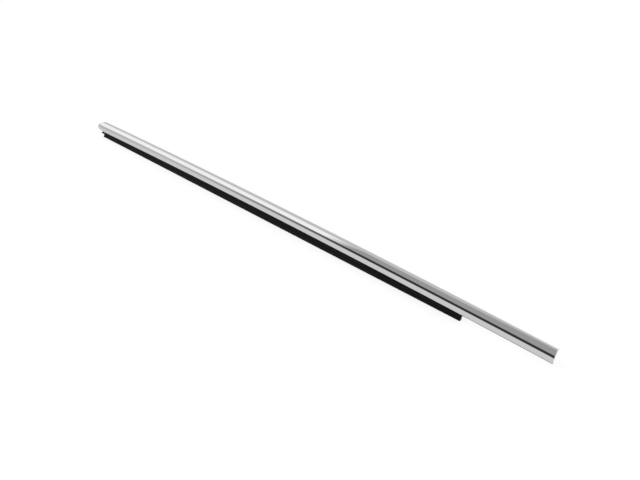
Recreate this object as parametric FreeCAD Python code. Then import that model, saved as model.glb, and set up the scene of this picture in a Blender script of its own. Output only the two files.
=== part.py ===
"""Outer door belt weatherstrip: a bright roll-formed moulding on a black rubber extrusion.

The section is drawn upright, as it sits on a door: v runs inwards, from the bright face
towards the window glass, and w runs up the inner leg. It is revolved along the crown of the
belt line, leaned back to the angle at which the loose strip rests, and set on the floor.
Millimetres, +X along the strip, +Z up, the bright face towards -Y.
"""

import FreeCAD, Part
import math
import os

from FreeCAD import Vector

# Length and crown of the belt line, and how far the loose strip leans back at rest
moulding_length = 950.0
crown_height = 3.9
rest_lean = 24.5

# Where the rubber runs under the moulding, measured from the moulding's left tip
rubber_setback = 22.0
core_setback = 36.5
rubber_cut = 817.0
lip_cutback = 12.0

# Bright moulding: two slightly convex facets that meet at a soft crease
gauge = 0.6
bright_bottom = 12.0
bright_height = 18.5
crease_above_bottom = 8.2
facet_angle = 8.2
facet_bulge = 0.12
facet_radius = 90.0
crease_radius = 10.0

# Rolled edges, returns and hems of the moulding
top_roll = 1.8
bottom_roll = 1.4
top_return = 7.4
bottom_return = 4.2
top_hem = 2.2
bottom_hem = 1.8

# The left tip of the moulding curves inwards
tip_curve = 25.0
tip_length = 36.0

# The tip's nose: its top slants down to a small point, and its bottom rises a little to it
nose_slant_run = 26.0
nose_slant_drop = 14.0
nose_slant_radius = 30.0
nose_point_radius = 1.2
nose_rise_run = 30.0
nose_rise = 2.7
nose_foot_radius = 0.6
nose_overshoot = 0.3

# The square right end
end_length = 8.0
end_roll = 1.6

# Rubber extrusion: core, slot for the door's flange and inner leg
seat_clearance = 0.05
hem_cover = 0.75
slot_width = 3.6
slot_roof = 4.8
slot_radius = 0.8
leg_thickness = 2.4
leg_spare = 6.0
shoulder_drop = 1.4
shoulder_radius = 1.2

# Barbed fins that grip the flange, in pairs up the slot
fin_count = 3
fin_pitch = 3.4
fin_first = 2.2
fin_reach = 0.9
fin_rise = 1.5
fin_thickness = 0.7

# Lip that seals on the door skin, under the moulding's lower edge
skin_lip_drop = 2.6
skin_lip_reach = 2.6
skin_lip_thickness = 0.8
skin_lip_radius = 0.4

# Wiper lips that sweep the glass
lip_thickness = 1.2
lip_radius = 8.0
lip_centre_inset = 1.4
lip_bend = 50.0
lip_run = 3.5
lip_spacing = 14.5
lip_floor_gap = 0.02

# Joins overlap by a margin
margin = 0.5
quarter_turn = 90.0

lean = math.radians(rest_lean)
facet_slope = math.tan(math.radians(facet_angle))
bright_top = bright_bottom + bright_height
reach_past = 2.0 * bright_top
crease_level = bright_bottom + crease_above_bottom

crown_radius = moulding_length ** 2 / (8.0 * crown_height)
tip_run = math.sqrt(tip_curve ** 2 - (tip_curve - top_return) ** 2)
left_tip = -moulding_length / 2.0
right_end = moulding_length / 2.0
rubber_left = left_tip + rubber_setback
core_left = left_tip + core_setback
rubber_right = left_tip + rubber_cut
lip_right = rubber_right - lip_cutback

# The crown's highest point, the apex, is over the middle of the wiper lips: both ends rest
apex_x = (core_left + lip_right) / 2.0
crown_centre = Vector(apex_x, 0.0, -crown_radius)
along = Vector(1.0, 0.0, 0.0)
inwards = Vector(0.0, 1.0, 0.0)
upwards = Vector(0.0, 0.0, 1.0)

slot_front = bottom_return + hem_cover
leg_front = slot_front + slot_width
leg_back = leg_front + leg_thickness
slot_top = bright_top - slot_roof
shoulder_top = bright_top - shoulder_drop

# The lower lip's centre: at both of its ends the lip all but touches the floor
end_drop = (lip_right - apex_x) ** 2 / (2.0 * crown_radius)
lip_offset = leg_thickness + lip_centre_inset
lip_stand = (lip_radius + lip_floor_gap) / math.cos(lean)
lip_centre_level = lip_offset * math.tan(lean) + end_drop + lip_stand


def rounded_face(corners, across=inwards):
    """A face at the apex from corners (across, up, radius), each rounded by a tangent arc."""
    points = [along * apex_x + across * v + upwards * w for v, w, radius in corners]
    arcs = []
    for index, here in enumerate(points):
        radius = corners[index][2]
        if radius <= 0.0:
            arcs.append((here, None, here))
            continue
        before = (points[index - 1] - here).normalize()
        after = (points[(index + 1) % len(points)] - here).normalize()
        half = before.getAngle(after) / 2.0
        tangent = radius / math.tan(half)
        bisector = (before + after).normalize()
        middle = here + bisector * (radius / math.sin(half) - radius)
        arcs.append((here + before * tangent, middle, here + after * tangent))
    edges = []
    for index, (start, middle, finish) in enumerate(arcs):
        if middle is not None:
            edges.append(Part.Arc(start, middle, finish).toShape())
        following = arcs[(index + 1) % len(arcs)][0]
        if (following - finish).Length > Part.Precision.confusion():
            edges.append(Part.makeLine(finish, following))
    return Part.Face(Part.Wire(edges))


def block(x, v, w):
    """A box from its (low, high) pairs along the strip, inwards and up."""
    size = [high - low for low, high in (x, v, w)]
    return Part.makeBox(*size, Vector(x[0], v[0], w[0]))


def station_angle(x):
    """Degrees round the crown from the apex to a place along the strip."""
    return math.degrees(math.asin((x - apex_x) / crown_radius))


def at_station(shape, x):
    """Carry a shape that is drawn beside the apex along the crown to x."""
    shape.rotate(crown_centre, inwards, station_angle(x))
    return shape


def along_crown(section, start, finish):
    """Revolve a section along the crown between two places on the strip."""
    placed = at_station(section.copy(), start)
    return placed.revolve(crown_centre, inwards, station_angle(finish) - station_angle(start))


def shrunk(outline, inset):
    """A closed clockwise outline of (across, up, radius) corners, offset inwards by inset."""
    corners = []
    for index, here in enumerate(outline):
        normals = []
        for start, finish in ((outline[index - 1], here), (here, outline[(index + 1) % len(outline)])):
            run, rise = finish[0] - start[0], finish[1] - start[1]
            length = math.hypot(run, rise)
            normals.append((rise / length, -run / length))
        first, second = normals
        share = inset / (1.0 + first[0] * second[0] + first[1] * second[1])
        corners.append((
            here[0] + share * (first[0] + second[0]), here[1] + share * (first[1] + second[1]),
            here[2] - inset))
    return corners


def face_corners(inset):
    """The bright face from its bottom to its top corner, as (v, w, radius), offset inwards."""
    lean_in = math.radians(facet_angle)
    levels = (bright_bottom, crease_level, bright_top)
    low, crease, high = [(abs(level - crease_level) * facet_slope, level) for level in levels]
    bulges = []
    for end, outward in ((low, -1.0), (high, 1.0)):
        middle_v = (end[0] + crease[0]) / 2.0 - facet_bulge * math.cos(lean_in)
        middle_w = (end[1] + crease[1]) / 2.0 + outward * facet_bulge * math.sin(lean_in)
        bulges.append((middle_v, middle_w))
    radii = (bottom_roll, facet_radius, crease_radius, facet_radius, top_roll)
    front = [(*place, radius) for place, radius in zip((low, bulges[0], crease, bulges[1], high), radii)]
    behind_low = (low[0] + reach_past, low[1], 0.0)
    behind_high = (high[0] + reach_past, high[1], 0.0)
    return shrunk([behind_low] + front + [behind_high], inset)[1:-1]


def bright_envelope(inset):
    """The space behind the bright face, offset inwards; an offset one runs on past the back."""
    low = bright_bottom + inset
    high = bright_top - inset
    if inset > 0.0:
        back = [(top_return + margin, high, 0.0), (top_return + margin, low, 0.0)]
    else:
        hem_foot = bright_top - top_hem
        back = [(top_return, high, 0.0), (top_return, hem_foot, 0.0),
                (bottom_return, hem_foot, 0.0), (bottom_return, low, 0.0)]
    return rounded_face(face_corners(inset) + back)


def straight_run():
    """The roll-formed length between the two formed ends, with its hems turned in."""
    start = left_tip + tip_length
    finish = right_end - end_length
    outer = along_crown(bright_envelope(0.0), start, finish)
    run = outer.cut(along_crown(bright_envelope(gauge), start - margin, finish + margin))
    hems = (
        (top_return, bright_top - gauge / 2.0, -top_hem),
        (bottom_return, bright_bottom + gauge / 2.0, bottom_hem),
    )
    for back, level, turn in hems:
        low, high = sorted((level, level + turn))
        hem = rounded_face([
            (back - gauge, low, 0.0), (back, low, 0.0),
            (back, high, 0.0), (back - gauge, high, 0.0),
        ])
        run = run.fuse(along_crown(hem, start, finish))
    return run


def rolled_end():
    """The square right end: face, top and bottom are rolled over into an end wall."""
    forms = []
    for inset in (0.0, gauge):
        form = bright_envelope(inset).extrude(along * (end_length - inset))
        wall = max(form.Faces, key=lambda face: face.CenterOfMass.x)
        rim = [edge for edge in wall.Edges if edge.CenterOfMass.y < top_roll]
        forms.append(form.makeFillet(end_roll - inset, rim))
    outer, inner = forms
    return at_station(outer.cut(inner), right_end - end_length)


def nose_space(inset):
    """The space inside the nose's outline, for a tip piece that ends at the apex."""
    behind_nose = 2.0 * nose_rise_run - tip_length
    top = bright_top + nose_overshoot
    outline = [
        (behind_nose, bright_bottom - nose_rise, 0.0),
        (-tip_length, bright_bottom + nose_rise, nose_foot_radius),
        (-tip_length, bright_top - nose_slant_drop, nose_point_radius),
        (nose_slant_run - tip_length, top, nose_slant_radius),
        (behind_nose, top, 0.0),
    ]
    side = rounded_face(shrunk(outline, inset), along)
    side.translate(inwards * -reach_past)
    return side.extrude(inwards * (2.0 * reach_past))


def curved_tip():
    """The left tip: the same shell bent inwards and cut to the nose's outline."""
    pivot = Vector(apex_x - tip_length + tip_run, tip_curve, 0.0)
    forms = []
    for inset in (0.0, gauge):
        section = bright_envelope(inset)
        section.translate(along * (tip_run - tip_length))
        straight = section.extrude(along * (tip_length - tip_run))
        bend = section.revolve(pivot, upwards, -quarter_turn)
        forms.append(straight.fuse(bend).common(nose_space(inset)))
    outer, inner = forms
    behind = block(
        (apex_x - reach_past, apex_x + reach_past), (top_return, reach_past),
        (-reach_past, reach_past))
    return at_station(outer.cut(inner).cut(behind), left_tip + tip_length)


def bright_moulding():
    """The whole bright shell, from its curved tip to its rolled end."""
    return straight_run().multiFuse([rolled_end(), curved_tip()]).removeSplitter()


def channel_section():
    """The rubber's body: the core under the bright face, the slot and the inner leg."""
    seat = gauge + seat_clearance
    low = bright_bottom + seat
    high = bright_top - seat
    top_hem_front = top_return - seat
    top_hem_back = top_return + seat_clearance
    top_hem_foot = bright_top - gauge / 2.0 - top_hem - seat_clearance
    low_hem_front = bottom_return - seat
    low_hem_back = bottom_return + seat_clearance
    low_hem_head = bright_bottom + gauge / 2.0 + bottom_hem + seat_clearance
    lip_root = bright_bottom - seat_clearance
    lip_foot = lip_root - skin_lip_thickness / 2.0
    lip_tip_v = slot_front - skin_lip_reach
    lip_tip_w = bright_bottom - skin_lip_drop
    half_lip = skin_lip_thickness / 2.0
    behind_face = [
        (top_hem_front, high, 0.0),
        (top_hem_front, top_hem_foot, 0.0),
        (top_hem_back, top_hem_foot, 0.0),
        (top_hem_back, shoulder_top, 0.0),
        (leg_back, shoulder_top, shoulder_radius),
        (leg_back, -leg_spare, 0.0),
        (leg_front, -leg_spare, 0.0),
        (leg_front, slot_top, slot_radius),
        (slot_front, slot_top, slot_radius),
        (slot_front, lip_foot, skin_lip_radius),
        (lip_tip_v + half_lip, lip_tip_w - half_lip, 0.0),
        (lip_tip_v, lip_tip_w, 0.0),
        (low_hem_back, lip_root, 0.0),
        (low_hem_back, low_hem_head, 0.0),
        (low_hem_front, low_hem_head, 0.0),
        (low_hem_front, low, 0.0),
    ]
    return rounded_face(face_corners(seat) + behind_face)


def fin_section(wall, side, level):
    """One barbed fin on a wall of the slot, its tip pointing up."""
    root = wall - side * margin
    tip = wall + side * fin_reach
    return rounded_face([
        (root, level, 0.0),
        (wall, level, 0.0),
        (tip, level + fin_rise, 0.0),
        (tip, level + fin_rise + fin_thickness / 2.0, 0.0),
        (wall, level + fin_thickness, 0.0),
        (root, level + fin_thickness, 0.0),
    ])


def wiper_section(rise):
    """One wiper lip: it leaves the leg level, curves up and runs on to a round tip."""
    bend = math.radians(lip_bend)
    centre = Vector(apex_x, leg_back + lip_centre_inset, lip_centre_level + rise)
    along = Vector(0.0, math.cos(bend), math.sin(bend))
    outward = Vector(0.0, math.sin(bend), -math.cos(bend))
    outward_half_way = Vector(0.0, math.sin(bend / 2.0), -math.cos(bend / 2.0))
    into_leg = inwards * -(lip_centre_inset + margin)
    sides = []
    for radius in (lip_radius, lip_radius - lip_thickness):
        root = centre - upwards * radius
        knee = centre + outward * radius
        sides.append((root, centre + outward_half_way * radius, knee, knee + along * lip_run))
    outer, inner = sides
    tip = (outer[3] + inner[3]) / 2.0 + along * (lip_thickness / 2.0)
    edges = [
        Part.makeLine(outer[0] + into_leg, outer[0]),
        Part.Arc(*outer[:3]).toShape(),
        Part.makeLine(outer[2], outer[3]),
        Part.Arc(outer[3], tip, inner[3]).toShape(),
        Part.makeLine(inner[3], inner[2]),
        Part.Arc(*inner[2::-1]).toShape(),
        Part.makeLine(inner[0], inner[0] + into_leg),
        Part.makeLine(inner[0] + into_leg, outer[0] + into_leg),
    ]
    return Part.Face(Part.Wire(edges))


def rubber_sections():
    """The sections that run the extrusion's whole length: its body and the slot's fins."""
    sections = [channel_section()]
    for index in range(fin_count):
        level = bright_bottom + fin_first + index * fin_pitch
        sections.append(fin_section(slot_front, 1.0, level))
        sections.append(fin_section(leg_front, -1.0, level))
    return sections


def on_floor(shape):
    """Lean a shape back and set the inner leg's front edge at floor level."""
    shape.rotate(Vector(), along, -rest_lean)
    shape.translate(upwards * (leg_front * math.sin(lean)))
    return shape


def rubber_weatherstrip():
    """The extrusion: square ends, its upper part trimmed back at the nose, its edge flat."""
    runs = [along_crown(section, rubber_left, rubber_right) for section in rubber_sections()]
    for rise in (0.0, lip_spacing):
        runs.append(along_crown(wiper_section(rise), core_left, lip_right))
    strip = runs[0].multiFuse(runs[1:]).removeSplitter()
    upper_part = rounded_face([
        (-reach_past, bright_bottom - margin, 0.0), (reach_past, bright_bottom - margin, 0.0),
        (reach_past, reach_past, 0.0), (-reach_past, reach_past, 0.0)])
    strip = on_floor(strip.cut(along_crown(upper_part, rubber_left - margin, core_left)))
    floor = block(
        (-moulding_length, moulding_length), (-reach_past, reach_past), (-reach_past, 0.0))
    return strip.cut(floor)


pieces = {
    "bright_moulding": on_floor(bright_moulding()),
    "rubber_weatherstrip": rubber_weatherstrip(),
}

# The origin is on the floor, under the middle of the whole strip
whole = Part.makeCompound(list(pieces.values())).optimalBoundingBox(False, False)
to_origin = Vector(-whole.Center.x, -whole.Center.y, -whole.ZMin)

os.makedirs("parts", exist_ok=True)
for name, shape in pieces.items():
    shape.translate(to_origin)
    shape.exportStep("parts/" + name + ".step")
    print(name, "solids", len(shape.Solids), "valid", shape.isValid(),
          "volume", round(shape.Volume, 1), "faces", len(shape.Faces))
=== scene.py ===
"""Door belt weatherstrip: the looks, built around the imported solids."""

import math

import bpy
import numpy as np
from mathutils import Matrix, Vector


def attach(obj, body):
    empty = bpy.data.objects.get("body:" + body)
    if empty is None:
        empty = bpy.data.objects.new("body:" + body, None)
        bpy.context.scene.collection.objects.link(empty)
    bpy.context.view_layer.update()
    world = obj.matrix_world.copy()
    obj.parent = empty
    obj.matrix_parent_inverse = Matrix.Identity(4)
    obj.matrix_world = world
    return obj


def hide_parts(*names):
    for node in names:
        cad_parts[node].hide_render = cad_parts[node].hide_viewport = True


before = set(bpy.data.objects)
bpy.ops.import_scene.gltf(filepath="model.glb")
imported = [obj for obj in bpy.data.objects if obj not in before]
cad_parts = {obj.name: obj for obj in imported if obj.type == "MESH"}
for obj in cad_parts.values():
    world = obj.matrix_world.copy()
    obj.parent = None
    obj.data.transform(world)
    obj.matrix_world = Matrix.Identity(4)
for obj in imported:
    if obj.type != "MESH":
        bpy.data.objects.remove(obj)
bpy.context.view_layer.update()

MM = 0.001

# The bright moulding's own sizes in millimetres, as the part has them, apart from a crease that
# is a little higher and rounder
moulding_length = 950.0
crown_height = 3.9
rest_lean = 24.5
apex_x = -54.25
to_origin = (-0.4388, -16.9673, 3.5456)
gauge = 0.6
bright_bottom = 12.0
bright_height = 18.5
crease_above_bottom = 8.6
facet_angle = 8.2
facet_bulge = 0.12
facet_radius = 90.0
crease_radius = 13.5
top_return = 7.4
bottom_return = 4.2
top_hem = 2.2
bottom_hem = 1.8
tip_curve = 25.0

# The nose's outline at the left tip
nose_slant_run = 26.0
nose_slant_drop = 14.0
nose_slant_radius = 30.0
nose_point_radius = 1.2
nose_rise_run = 30.0
nose_rise = 2.7
nose_foot_radius = 0.6
nose_overshoot = 0.3

# How the sheet's rim is rolled over, at the top, bottom, right end and left tip
top_roll = 1.8
bottom_roll = 1.4
end_roll = 1.6
tip_roll = 1.1
tip_roll_onset = 3.0
end_corner = 1.6
back_roll = 0.8
least_wall = 0.15
least_hem = 0.3
end_without_hem = 8.0
top_ledge = 2.2
feather = 2.5
least_share = 0.04

# The rubber's inner leg ends here, and the flock of the wiper lips sets in this far behind it
leg_back = 10.95
flock_fade = (0.2, 0.6)

# The mesh's fineness
run_columns = 160
nose_columns = 60
end_columns = 6
face_rows = 48
roll_rows = 8
back_rows = 4
arc_points = 16
profile_points = 2000
quarter_turn = math.radians(90.0)

# The camera, fitted to the photograph's edges, in millimetres, degrees and pixels
camera_place = (895.437, -741.984, 634.318)
camera_azimuth = 47.394
camera_elevation = 29.805
camera_roll = -1.381
focal_pixels = 919.261
photo_width = 640
sensor_width = 36.0

# Colours, as linear red, green and blue
clean_metal = (0.91, 0.915, 0.91, 1.0)
hazy_metal = (0.95, 0.955, 0.96, 1.0)
handled_metal = (0.7, 0.71, 0.72, 1.0)
dark_mill = (0.5, 0.5, 0.49, 1.0)
pale_mill = (0.62, 0.62, 0.61, 1.0)
clean_rubber = (0.0035, 0.0035, 0.004, 1.0)
dusty_rubber = (0.008, 0.0078, 0.0074, 1.0)
# A lighter rubber tone laid along the die lines: painted sheen
sheen_painted_rubber = (0.024, 0.024, 0.023, 1.0)
dark_flock = (0.002, 0.002, 0.002, 1.0)
pale_flock = (0.012, 0.012, 0.0125, 1.0)
floor_tone = (0.28, 0.28, 0.28, 1.0)
white = (1.0, 1.0, 1.0, 1.0)

# Patterns, as ((x, y, z) repeats a metre, detail, roughness of the noise)
rolling_lines = ((3.0, 900.0, 900.0), 4.0, 0.6)
haze_patches = ((14.0, 90.0, 90.0), 3.0, 0.6)
sheet_waves = ((70.0, 60.0, 60.0), 2.0, 0.5)
mill_lines = ((6.0, 1500.0, 1500.0), 5.0, 0.65)
mill_blotches = ((30.0, 120.0, 120.0), 3.0, 0.6)
die_lines = ((4.0, 1100.0, 1100.0), 4.0, 0.6)
rubber_grain = ((2600.0, 2600.0, 2600.0), 3.0, 0.6)
flock_fibres = ((5200.0, 5200.0, 5200.0), 2.0, 0.7)
rubber_dust = ((35.0, 120.0, 120.0), 4.0, 0.6)
speck_repeats = (90.0, 160.0, 160.0)

# What the patterns do, as (from, to) of the pattern, and the values there if not 0 and 1
speck_choice = (0.86, 0.9)
speck_size = (0.16, 0.08)
haze_roughness = (0.4, 0.75, 0.008, 0.025)
mill_roughness = (0.3, 0.7, 0.3, 0.42)
dust_cover = (0.45, 0.75)
# Where along the die lines the painted sheen tone is laid
painted_sheen_cover = (0.5, 0.7, 0.0, 0.6)
rubber_roughness = (0.3, 0.7, 0.42, 0.6)

# How strongly they add to a surface
speck_tone = 0.25
speck_roughness = 0.3
line_roughness = 0.008
grain_roughness = 0.12
flock_roughness = 0.95
flock_sheen = 0.25
sheen_roughness = 0.4
rubber_specular = 0.22
pile_height = 2.0

# Bumps, as (strength, height in metres)
wave_bump = (0.1, 0.00002)
line_bump = (0.05, 0.00002)
mill_bump = (0.25, 0.00003)
die_bump = (0.35, 0.00008)
pile_bump = (0.25, 0.00004)

# Light: plain on everything, from the room in what mirrors it, and the floor's own white
plain_light = 0.65
mirrored_light = 1.06
floor_glow = 0.78
floor_reach = 6.0
lamp_size = 1.6

bright_top = bright_bottom + bright_height
crease_level = bright_bottom + crease_above_bottom
crown_radius = moulding_length ** 2 / (8.0 * crown_height)
left_tip = -moulding_length / 2.0
right_end = moulding_length / 2.0
bend_start = left_tip + math.sqrt(tip_curve ** 2 - (tip_curve - top_return) ** 2)
nose_start = left_tip + nose_rise_run + tip_curve / 2.0


def face_profile():
    """The bright face's lean and depth, as dense arrays over the level."""
    rises, leans = [], []
    for side, height in ((-1.0, crease_above_bottom), (1.0, bright_height - crease_above_bottom)):
        full = math.radians(facet_angle)
        swing = math.atan(2.0 * facet_bulge * math.cos(full) / height)
        reach = facet_radius * math.tan(swing) * math.cos(full)
        middle = height / 2.0
        stops = [crease_radius * math.tan(full - swing), middle - reach, middle + reach]
        turns = [full - swing, full - swing, full + swing]
        rises += [side * stop for stop in stops + [height]]
        leans += [side * turn for turn in turns + [full + swing]]
    order = np.argsort(rises)
    levels = np.linspace(bright_bottom, bright_top, profile_points)
    leaning = np.interp(levels - crease_level, np.array(rises)[order], np.array(leans)[order])
    slopes = np.tan(leaning)
    depths = np.concatenate([[0.0], np.cumsum((slopes[1:] + slopes[:-1]) / 2.0)])
    depths *= levels[1] - levels[0]
    depths += crease_above_bottom * math.tan(math.radians(facet_angle)) - depths[0]
    return levels, leaning, depths


face_levels, face_leans, face_depths = face_profile()


def face_depth(w):
    """How far inwards the unbent bright face lies at a level."""
    return np.interp(w, face_levels, face_depths)


def bent_depth(x, w):
    """How far inwards the bright face lies once the tip is bent."""
    reach = tip_curve - face_depth(w)
    past = np.clip(bend_start - x, 0.0, None)
    back = np.sqrt(np.clip(reach ** 2 - past ** 2, (tip_curve - top_return) ** 2, None))
    return np.where(past > 0.0, tip_curve - back, tip_curve - reach)


def front_normals(x, w):
    """The outward normals of the bright face, turned with the tip's bend."""
    leaning = np.interp(w, face_levels, face_leans)
    past = np.clip(bend_start - x, 0.0, None)
    sine = np.clip(past / (tip_curve - face_depth(w)), 0.0, 0.99)
    return np.stack([-np.cos(leaning) * sine, -np.cos(leaning) * np.sqrt(1.0 - sine ** 2),
                     np.sin(leaning)], -1)


def formed(points, normals):
    """Crown the strip, lean it back and carry it to the part's origin."""
    around = np.arcsin((points[:, 0] - apex_x) / crown_radius)
    sine, cosine = np.sin(around), np.cos(around)
    reach = crown_radius + points[:, 2]
    crowned = np.stack(
        [apex_x + reach * sine, points[:, 1], reach * cosine - crown_radius], -1)
    facing = np.stack([
        normals[:, 0] * cosine + normals[:, 2] * sine, normals[:, 1],
        normals[:, 2] * cosine - normals[:, 0] * sine], -1)
    lean = np.array(Matrix.Rotation(math.radians(-rest_lean), 3, "X"))
    return crowned @ lean.T + np.array(to_origin), facing @ lean.T


def rounded_path(corners, side):
    """Dense points and outward normals of a leftward path of (x, w, radius) corners."""
    points, normals = [], []
    for index in range(1, len(corners)):
        x, w, radius = corners[index]
        here = Vector((x, w))
        before = (Vector(corners[index - 1][:2]) - here).normalized()
        if radius == 0.0:
            points += [here]
            normals += [Vector((-before.y, before.x)) * side]
            continue
        after = (Vector(corners[index + 1][:2]) - here).normalized()
        half = before.angle(after) / 2.0
        centre = here + (before + after).normalized() * (radius / math.sin(half))
        first = (here + before * (radius / math.tan(half)) - centre) / radius
        last = (here + after * (radius / math.tan(half)) - centre) / radius
        for step in np.linspace(0.0, 1.0, arc_points):
            outward = (first * (1.0 - step) + last * step).normalized()
            points += [centre + outward * radius]
            normals += [outward]
    first = Vector(corners[0][:2])
    return np.array([first] + points), np.array([normals[0]] + normals)


def outline_row(side):
    """The outline's top (side 1) or bottom (side -1) from right to left: points and normals."""
    level = bright_top if side > 0.0 else bright_bottom
    points, normals = [], []
    for index in range(end_columns):
        angle = quarter_turn * index / end_columns
        normal = (math.cos(angle), side * math.sin(angle))
        centre = (right_end - end_corner, level - side * end_corner)
        points.append([centre[axis] + end_corner * normal[axis] for axis in (0, 1)])
        normals.append(normal)
    for index in range(run_columns):
        share = index / run_columns
        points.append([(right_end - end_corner) * (1.0 - share) + nose_start * share, level])
        normals.append((0.0, side))
    points, normals = np.array(points), np.array(normals)

    behind_nose = left_tip + 2.0 * nose_rise_run
    half_way = (bright_bottom + nose_rise + bright_top - nose_slant_drop) / 2.0
    if side > 0.0:
        top = bright_top + nose_overshoot
        corners = [(behind_nose, top, 0.0),
                   (left_tip + nose_slant_run, top, nose_slant_radius),
                   (left_tip, bright_top - nose_slant_drop, nose_point_radius)]
    else:
        corners = [(behind_nose, bright_bottom - nose_rise, 0.0),
                   (left_tip, bright_bottom + nose_rise, nose_foot_radius)]
    path, facing = rounded_path(corners + [(left_tip, half_way, 0.0)], side)
    path, facing = path[:-1], facing[:-1]
    angles = np.radians(np.linspace(0.0, 90.0, nose_columns))
    x = nose_start + (path[-1, 0] - nose_start) * np.sin(angles)
    rows = [np.interp(x, path[::-1, 0], column[::-1]) for column in (path[:, 1], *facing.T)]
    clipped = side * rows[0] > side * level
    nose = np.stack([x, np.where(clipped, level, rows[0])], -1)
    nose_normals = np.stack(
        [np.where(clipped, 0.0, rows[1]), np.where(clipped, side, rows[2])], -1)
    nose_normals /= np.linalg.norm(nose_normals, axis=1)[:, None]
    return np.concatenate([points, nose]), np.concatenate([normals, nose_normals])


def rim_roll(normals):
    """The radius of the rolled rim for each outward direction of the outline."""
    right = np.clip(normals[:, 0], 0.0, 1.0) ** 2
    level_roll = np.where(normals[:, 1] > 0.0, top_roll, bottom_roll)
    straight = right * end_roll + (1.0 - right) * level_roll
    left = np.clip(-normals[:, 0] * tip_roll_onset, 0.0, 1.0)
    return straight * (1.0 - left) + tip_roll * left


def drawn_in(flat):
    """Pull the outermost places of the nose in to where the bent face meets the return."""
    reach = tip_curve - face_depth(flat[:, 1])
    limit = bend_start - np.sqrt(reach ** 2 - (tip_curve - top_return + least_share) ** 2)
    near = np.clip(1.0 - (flat[:, 0] - left_tip) / (2.0 * feather), 0.0, 1.0) ** 2
    moved = flat.copy()
    moved[:, 0] += (limit - left_tip) * near
    return moved


def tip_share(depth, x):
    """How much of the rim's sizes is left where the bent face nears the return's depth."""
    left = np.clip((top_return - depth) / feather, least_share, 1.0)
    return np.where(x < bend_start, left, 1.0)


def moulding_layers():
    """The sheet's outer side: the face as a grid, and its border with normals and roll radii."""
    top, top_normals = outline_row(1.0)
    bottom, bottom_normals = outline_row(-1.0)
    columns, rows = len(top), face_rows + 1
    share = np.linspace(0.0, 1.0, rows)[None, :, None]
    insets = []
    for row, facing in ((top, top_normals), (bottom, bottom_normals)):
        rolls = rim_roll(facing) * tip_share(bent_depth(row[:, 0], row[:, 1]), row[:, 0])
        insets.append(row - facing * rolls[:, None])
    grid = insets[1][:, None] * (1.0 - share) + insets[0][:, None] * share
    flat = drawn_in(grid.reshape(-1, 2))

    last_column, last_row = columns - 1, rows - 1
    ring = [column * rows + last_row for column in range(columns)]
    ring += [last_column * rows + row for row in range(last_row - 1, 0, -1)]
    ring += [column * rows for column in range(last_column, -1, -1)]
    ring += list(range(1, last_row))
    left_normals = np.tile([-1.0, 0.0], (rows - 2, 1))
    normals = np.concatenate([top_normals, left_normals, bottom_normals[::-1], -left_normals])
    inner = flat[ring]
    rolls = rim_roll(normals) * tip_share(bent_depth(inner[:, 0], inner[:, 1]), inner[:, 0])
    return columns, rows, flat, ring, inner + normals * rolls[:, None], normals, rolls


def rim_rings(border, normals, rolls):
    """Rings of (points, normals, thickness) that roll the rim over, run back and hem it."""
    rings = []
    outward = np.stack([normals[:, 0], np.zeros(len(normals)), normals[:, 1]], -1)
    inwards = np.array([0.0, 1.0, 0.0])
    front = bent_depth(border[:, 0], border[:, 1])
    share = tip_share(front, border[:, 0])
    rounded = back_roll * share

    def ring(inset, depth, facing):
        places = border - normals * inset[:, None]
        points = np.stack([places[:, 0], depth, places[:, 1]], -1)
        rings.append((points, facing / np.linalg.norm(facing, axis=1)[:, None], gauge * share))

    for step in range(1, roll_rows + 1):
        angle = quarter_turn * (1.0 - step / roll_rows)
        sine, cosine = math.sin(angle), math.cos(angle)
        inset = rolls * (1.0 - cosine)
        places = border - normals * inset[:, None]
        depth = bent_depth(places[:, 0], places[:, 1]) + rolls * (1.0 - sine)
        facing = outward * cosine + front_normals(places[:, 0], places[:, 1]) * sine
        ring(inset, depth, facing)

    near_top = np.clip((border[:, 1] - (bright_top - top_ledge)) / gauge, 0.0, 1.0)
    bent = np.clip((bend_start + feather - border[:, 0]) / feather, 0.0, 1.0)
    back = bottom_return + (top_return - bottom_return) * np.maximum(near_top, bent)
    back = np.maximum(back, front + rolls + rounded + least_wall * share)
    hem = np.where(normals[:, 1] > 0.5, top_hem, bottom_hem) - back_roll
    in_run = (border[:, 0] > bend_start) & (border[:, 0] < right_end - end_without_hem)
    hem = np.where(in_run, hem, least_hem * share)
    for step in range(back_rows + 1):
        angle = quarter_turn * step / back_rows
        sine, cosine = math.sin(angle), math.cos(angle)
        ring(rounded * (1.0 - cosine), back - rounded * (1.0 - sine),
             outward * cosine + inwards * sine)
    ring(rounded + hem, back, np.tile(inwards, (len(border), 1)))
    return rings


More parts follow.
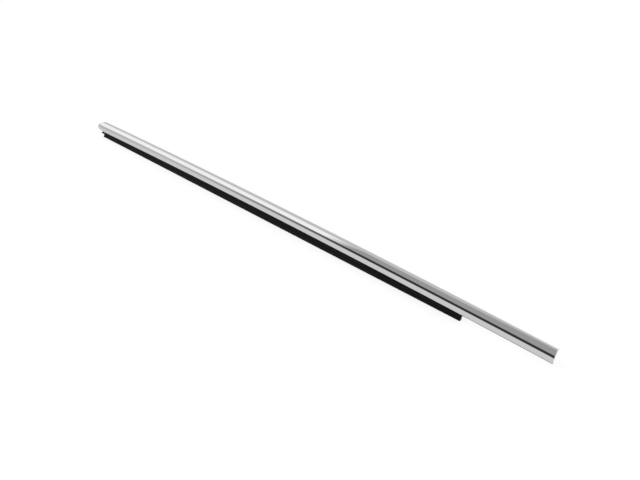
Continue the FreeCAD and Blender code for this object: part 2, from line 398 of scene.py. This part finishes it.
def build_moulding():
    """The bright moulding as one thin formed sheet with exact normals."""
    columns, rows, flat, ring, border, normals, rolls = moulding_layers()
    rings = rim_rings(border, normals, rolls)
    depth = bent_depth(flat[:, 0], flat[:, 1])
    face = np.stack([flat[:, 0], depth, flat[:, 1]], -1)
    outer = np.concatenate([face] + [points for points, _, _ in rings])
    outer_normals = np.concatenate(
        [front_normals(flat[:, 0], flat[:, 1])] + [turned for _, turned, _ in rings])
    thickness = np.concatenate(
        [gauge * tip_share(depth, flat[:, 0])] + [thick for _, _, thick in rings])
    outer, outer_normals = formed(outer, outer_normals)
    inner = outer - outer_normals * thickness[:, None]
    count = len(outer)

    layers = [ring]
    for index in range(len(rings)):
        start = len(face) + index * len(ring)
        layers.append(list(range(start, start + len(ring))))
    quads = []
    for column in range(columns - 1):
        for row in range(rows - 1):
            here = column * rows + row
            quads.append((here, here + 1, here + rows + 1, here + rows))
    for upper, lower in zip(layers, layers[1:]):
        for index in range(len(ring)):
            after = (index + 1) % len(ring)
            quads.append((upper[index], lower[index], lower[after], upper[after]))
    faces = list(quads)
    faces += [tuple(vertex + count for vertex in reversed(quad)) for quad in quads]
    edge = layers[-1]
    cap_start = len(faces)
    for index in range(len(edge)):
        after = (index + 1) % len(edge)
        faces.append((edge[index], edge[index] + count, edge[after] + count, edge[after]))

    vertices = np.concatenate([outer, inner]) * MM
    mesh = bpy.data.meshes.new("bright_moulding_sheet")
    mesh.from_pydata([tuple(place) for place in vertices], [], faces)
    for polygon in mesh.polygons:
        polygon.use_smooth = True
        polygon.material_index = 1 if polygon.index >= len(quads) else 0
    both = np.concatenate([outer_normals, -outer_normals])
    corner_normals = []
    for number, corners in enumerate(faces):
        if number < cap_start:
            corner_normals += [tuple(both[vertex]) for vertex in corners]
            continue
        a, b, c = (Vector(vertices[vertex]) for vertex in corners[:3])
        corner_normals += [tuple((b - a).cross(c - b).normalized())] * len(corners)
    mesh.normals_split_custom_set(corner_normals)
    piece = bpy.data.objects.new("bright_moulding_sheet", mesh)
    bpy.context.scene.collection.objects.link(piece)
    return piece


class Nodes:
    """A node tree with short calls for the nodes that the materials share."""

    def __init__(self, tree):
        self.tree = tree
        tree.nodes.clear()

    def new(self, kind, **settings):
        node = self.tree.nodes.new(kind)
        for name, value in settings.items():
            setattr(node, name, value)
        return node

    def link(self, source, target):
        self.tree.links.new(source, target)

    def feed(self, socket, value):
        if isinstance(value, (int, float, tuple)):
            socket.default_value = value
        else:
            self.link(value, socket)

    def math(self, operation, *values):
        node = self.new("ShaderNodeMath", operation=operation)
        for socket, value in zip(node.inputs, values):
            self.feed(socket, value)
        return node.outputs[0]

    def span(self, value, low, high, to_low=0.0, to_high=1.0, smooth=False):
        node = self.new("ShaderNodeMapRange", clamp=True)
        node.interpolation_type = "SMOOTHSTEP" if smooth else "LINEAR"
        for name, number in (("Value", value), ("From Min", low), ("From Max", high),
                             ("To Min", to_low), ("To Max", to_high)):
            self.feed(node.inputs[name], number)
        return node.outputs["Result"]

    def mix(self, share, first, second):
        node = self.new("ShaderNodeMix", data_type="RGBA")
        self.feed(node.inputs["Factor"], share)
        self.feed(node.inputs[6], first)
        self.feed(node.inputs[7], second)
        return node.outputs[2]

    def stretched(self, repeats):
        """Object coordinates scaled to (x, y, z) repeats a metre."""
        place = self.new("ShaderNodeTexCoord").outputs["Object"]
        node = self.new("ShaderNodeMapping")
        self.link(place, node.inputs["Vector"])
        node.inputs["Scale"].default_value = repeats
        return node.outputs["Vector"]

    def noise(self, repeats, detail, roughness):
        """Noise over the object, with (x, y, z) repeats a metre."""
        node = self.new("ShaderNodeTexNoise")
        self.link(self.stretched(repeats), node.inputs["Vector"])
        self.feed(node.inputs["Scale"], 1.0)
        self.feed(node.inputs["Detail"], detail)
        self.feed(node.inputs["Roughness"], roughness)
        return node.outputs["Fac"]

    def bump(self, height, strength, distance, below=None):
        node = self.new("ShaderNodeBump")
        node.inputs["Strength"].default_value = strength
        node.inputs["Distance"].default_value = distance
        self.link(height, node.inputs["Height"])
        if below is not None:
            self.link(below, node.inputs["Normal"])
        return node.outputs["Normal"]


def principled(name):
    """A new material with its nodes and its principled shader, which is already linked up."""
    material = bpy.data.materials.new(name)
    material.use_nodes = True
    nodes = Nodes(material.node_tree)
    shader = nodes.new("ShaderNodeBsdfPrincipled")
    output = nodes.new("ShaderNodeOutputMaterial")
    nodes.link(shader.outputs[0], output.inputs["Surface"])
    return material, nodes, shader


def bright_metal():
    """Polished bright strip: fine rolling lines, hazy patches and a few handling specks."""
    material, nodes, shader = principled("bright_metal")
    shader.inputs["Metallic"].default_value = 1.0
    lines = nodes.noise(*rolling_lines)
    haze = nodes.noise(*haze_patches)
    specks = nodes.new("ShaderNodeTexVoronoi")
    nodes.link(nodes.stretched(speck_repeats), specks.inputs["Vector"])
    specks.inputs["Scale"].default_value = 1.0
    speck = nodes.math("MULTIPLY", nodes.span(specks.outputs["Distance"], *speck_size),
                       nodes.span(specks.outputs["Color"], *speck_choice))
    tone = nodes.mix(haze, clean_metal, hazy_metal)
    nodes.link(nodes.mix(nodes.math("MULTIPLY", speck, speck_tone), tone, handled_metal),
               shader.inputs["Base Color"])
    rough = nodes.span(haze, *haze_roughness)
    rough = nodes.math("ADD", rough, nodes.math("MULTIPLY", lines, line_roughness))
    rough = nodes.math("ADD", rough, nodes.math("MULTIPLY", speck, speck_roughness))
    nodes.link(rough, shader.inputs["Roughness"])
    waves = nodes.bump(nodes.noise(*sheet_waves), *wave_bump)
    nodes.link(nodes.bump(lines, *line_bump, waves), shader.inputs["Normal"])
    return material


def mill_finish():
    """The strip's unpolished back: duller, greyer, with coarser rolling lines."""
    material, nodes, shader = principled("mill_finish")
    shader.inputs["Metallic"].default_value = 1.0
    lines = nodes.noise(*mill_lines)
    nodes.link(nodes.mix(nodes.noise(*mill_blotches), dark_mill, pale_mill),
               shader.inputs["Base Color"])
    nodes.link(nodes.span(lines, *mill_roughness), shader.inputs["Roughness"])
    nodes.link(nodes.bump(lines, *mill_bump), shader.inputs["Normal"])
    return material


def black_rubber():
    """Black rubber with die lines painted a lighter tone as painted sheen, faint dust, and a soft
    flock on the wiper lips.
    """
    material, nodes, shader = principled("black_rubber")
    lines = nodes.noise(*die_lines)
    grain = nodes.noise(*rubber_grain)
    fibres = nodes.noise(*flock_fibres)
    dust = nodes.noise(*rubber_dust)

    place = nodes.new("ShaderNodeTexCoord").outputs["Object"]
    split = nodes.new("ShaderNodeSeparateXYZ")
    nodes.link(place, split.inputs[0])
    lean = math.radians(rest_lean)
    depth = nodes.math(
        "SUBTRACT", nodes.math("MULTIPLY", split.outputs["Y"], math.cos(lean)),
        nodes.math("MULTIPLY", split.outputs["Z"], math.sin(lean)))
    offset = (to_origin[1] * math.cos(lean) - to_origin[2] * math.sin(lean)) * MM
    starts, full = (leg_back * MM + offset + reach * MM for reach in flock_fade)
    flock = nodes.span(depth, starts, full)

    tone = nodes.mix(nodes.span(dust, *dust_cover), clean_rubber, dusty_rubber)
    # Painted sheen: the die lines get a lighter rubber tone
    tone = nodes.mix(nodes.span(lines, *painted_sheen_cover), tone, sheen_painted_rubber)
    downy = nodes.mix(fibres, dark_flock, pale_flock)
    nodes.link(nodes.mix(flock, tone, downy), shader.inputs["Base Color"])
    rough = nodes.span(dust, *rubber_roughness)
    rough = nodes.math("ADD", rough, nodes.math("MULTIPLY", grain, grain_roughness))
    nodes.link(nodes.math("MAXIMUM", rough, nodes.math("MULTIPLY", flock, flock_roughness)),
               shader.inputs["Roughness"])
    shader.inputs["Specular IOR Level"].default_value = rubber_specular
    nodes.link(nodes.math("MULTIPLY", flock, flock_sheen), shader.inputs["Sheen Weight"])
    shader.inputs["Sheen Roughness"].default_value = sheen_roughness
    standing = nodes.math("MULTIPLY", nodes.math("MULTIPLY", fibres, flock), pile_height)
    pile = nodes.math("ADD", grain, standing)
    nodes.link(nodes.bump(pile, *pile_bump, nodes.bump(lines, *die_bump)),
               shader.inputs["Normal"])
    return material


def white_ray(nodes):
    """1 for the rays that see the background as the eye does, and 0 for the plain light."""
    path = nodes.new("ShaderNodeLightPath")
    seen = nodes.math("MAXIMUM", path.outputs["Is Camera Ray"], path.outputs["Is Glossy Ray"])
    return nodes.math("MAXIMUM", seen, path.outputs["Is Transmission Ray"]), path


# The mirrored room, a plain one with straight edges. Greys are 0 to 255 as a screen shows them
floor_grey = 50
table_grey = 200
near_room_grey = 180
far_room_grey = 50
window_grey = 240
wall_grey = 150
ceiling_grey = 190
open_grey = 250

# Its straight changes in degrees, as (from, to), and the values there where they aren't 0 and 1.
# Azimuth 0 is in front, and it grows to the right
floor_to_table = (-40.0, -30.0)
room_to_dark = (-50.0, -38.0)
window_to_wall = (-42.0, -40.0)
sill_rise = (-60.0, -25.0, 10.0, 20.0)
ceiling_rise = (-60.0, -25.0, 15.0, 27.0)
open_left = (-100.0, -105.0)
open_right = (25.0, 55.0)
table_edge = -3.0
overhead = 36.0

# How far each edge is blurred to either side, in degrees
edge_blur = 0.5
overhead_blur = 10.0


def screen_grey(level):
    """A linear colour from a grey of 0 to 255 as a screen shows it."""
    part = level / 255.0
    linear = part / 12.92 if part <= 0.04045 else ((part + 0.055) / 1.055) ** 2.4
    return (linear, linear, linear, 1.0)


def mirrored_room(nodes):
    """The grey that a glossy ray sees in each direction of the room."""
    towards = nodes.new("ShaderNodeTexCoord").outputs["Generated"]
    split = nodes.new("ShaderNodeSeparateXYZ")
    nodes.link(towards, split.inputs[0])
    to_front = nodes.math("MULTIPLY", split.outputs["Y"], -1.0)
    azimuth = nodes.math("DEGREES", nodes.math("ARCTAN2", split.outputs["X"], to_front))
    elevation = nodes.math("DEGREES", nodes.math("ARCSINE", split.outputs["Z"]))

    def above(edge, blur):
        """0 below an edge and 1 above it."""
        height = nodes.math("SUBTRACT", elevation, edge)
        return nodes.span(height, -blur, blur, smooth=True)

    table = nodes.mix(nodes.span(elevation, *floor_to_table), screen_grey(floor_grey),
                      screen_grey(table_grey))
    room = nodes.mix(nodes.span(azimuth, *room_to_dark), screen_grey(near_room_grey),
                     screen_grey(far_room_grey))
    window = nodes.mix(nodes.span(azimuth, *window_to_wall), screen_grey(window_grey),
                       screen_grey(wall_grey))
    sill = nodes.span(azimuth, *sill_rise)
    ceiling = nodes.span(azimuth, *ceiling_rise)
    seen = nodes.mix(above(table_edge, edge_blur), table, room)
    seen = nodes.mix(above(sill, edge_blur), seen, window)
    seen = nodes.mix(above(ceiling, edge_blur), seen, screen_grey(ceiling_grey))
    seen = nodes.mix(nodes.span(azimuth, *open_left), seen, screen_grey(open_grey))
    seen = nodes.mix(nodes.span(azimuth, *open_right), seen, screen_grey(open_grey))
    return nodes.mix(above(overhead, overhead_blur), seen, screen_grey(ceiling_grey))


def studio_world():
    """White to the camera, plain light on the object, and a bright room in what is glossy."""
    world = bpy.data.worlds.new("studio")
    bpy.context.scene.world = world
    world.use_nodes = True
    nodes = Nodes(world.node_tree)
    seen_or_mirrored, path = white_ray(nodes)
    light = nodes.new("ShaderNodeBackground")
    light.inputs["Color"].default_value = white
    light.inputs["Strength"].default_value = plain_light
    shown = nodes.new("ShaderNodeBackground")
    nodes.link(nodes.mix(path.outputs["Is Camera Ray"], mirrored_room(nodes), white),
               shown.inputs["Color"])
    shown.inputs["Strength"].default_value = mirrored_light
    choice = nodes.new("ShaderNodeMixShader")
    nodes.link(seen_or_mirrored, choice.inputs[0])
    nodes.link(light.outputs[0], choice.inputs[1])
    nodes.link(shown.outputs[0], choice.inputs[2])
    output = nodes.new("ShaderNodeOutputWorld")
    nodes.link(choice.outputs[0], output.inputs["Surface"])


def white_floor():
    """A white floor that keeps the strip's soft shadow."""
    mesh = bpy.data.meshes.new("floor")
    corners = [(side * floor_reach, end * floor_reach, 0.0)
               for side, end in ((-1.0, -1.0), (1.0, -1.0), (1.0, 1.0), (-1.0, 1.0))]
    mesh.from_pydata(corners, [], [(0, 1, 2, 3)])
    floor = bpy.data.objects.new("floor", mesh)
    bpy.context.scene.collection.objects.link(floor)
    material = bpy.data.materials.new("white_floor")
    material.use_nodes = True
    nodes = Nodes(material.node_tree)
    matt = nodes.new("ShaderNodeBsdfDiffuse")
    matt.inputs["Color"].default_value = floor_tone
    glow = nodes.new("ShaderNodeEmission")
    glow.inputs["Color"].default_value = white
    shown, _ = white_ray(nodes)
    nodes.link(nodes.math("MULTIPLY", shown, floor_glow), glow.inputs["Strength"])
    both = nodes.new("ShaderNodeAddShader")
    nodes.link(matt.outputs[0], both.inputs[0])
    nodes.link(glow.outputs[0], both.inputs[1])
    output = nodes.new("ShaderNodeOutputMaterial")
    nodes.link(both.outputs[0], output.inputs["Surface"])
    mesh.materials.append(material)
    floor.visible_glossy = False


def soft_lamp(name, place, power):
    """A large square lamp that faces the strip and doesn't show in its reflections."""
    data = bpy.data.lights.new(name, "AREA")
    data.size = lamp_size
    data.energy = power
    lamp = bpy.data.objects.new(name, data)
    bpy.context.scene.collection.objects.link(lamp)
    lamp.location = place
    lamp.rotation_euler = (-Vector(place)).to_track_quat("-Z", "Y").to_euler()
    lamp.visible_glossy = False


def photo_camera():
    """The camera at the photograph's place and angle."""
    data = bpy.data.cameras.new("camera")
    data.sensor_width = sensor_width
    data.lens = focal_pixels / photo_width * sensor_width
    camera = bpy.data.objects.new("camera", data)
    bpy.context.scene.collection.objects.link(camera)
    turn = Matrix.Rotation(math.radians(camera_azimuth), 4, "Z")
    tilt = Matrix.Rotation(math.radians(90.0 - camera_elevation), 4, "X")
    roll = Matrix.Rotation(math.radians(camera_roll), 4, "Z")
    camera.matrix_world = Matrix.Translation(Vector(camera_place) * MM) @ turn @ tilt @ roll
    bpy.context.scene.camera = camera


bpy.context.scene.view_settings.view_transform = "Standard"

moulding = build_moulding()
moulding.data.materials.append(bright_metal())
moulding.data.materials.append(mill_finish())
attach(moulding, "root")
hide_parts("bright_moulding")

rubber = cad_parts["rubber_weatherstrip"]
rubber.data.materials.clear()
rubber.data.materials.append(black_rubber())

photo_camera()
studio_world()
white_floor()
soft_lamp("key_lamp", (-0.8, -1.4, 1.8), 16.0)
soft_lamp("fill_lamp", (1.2, 1.2, 1.6), 8.0)
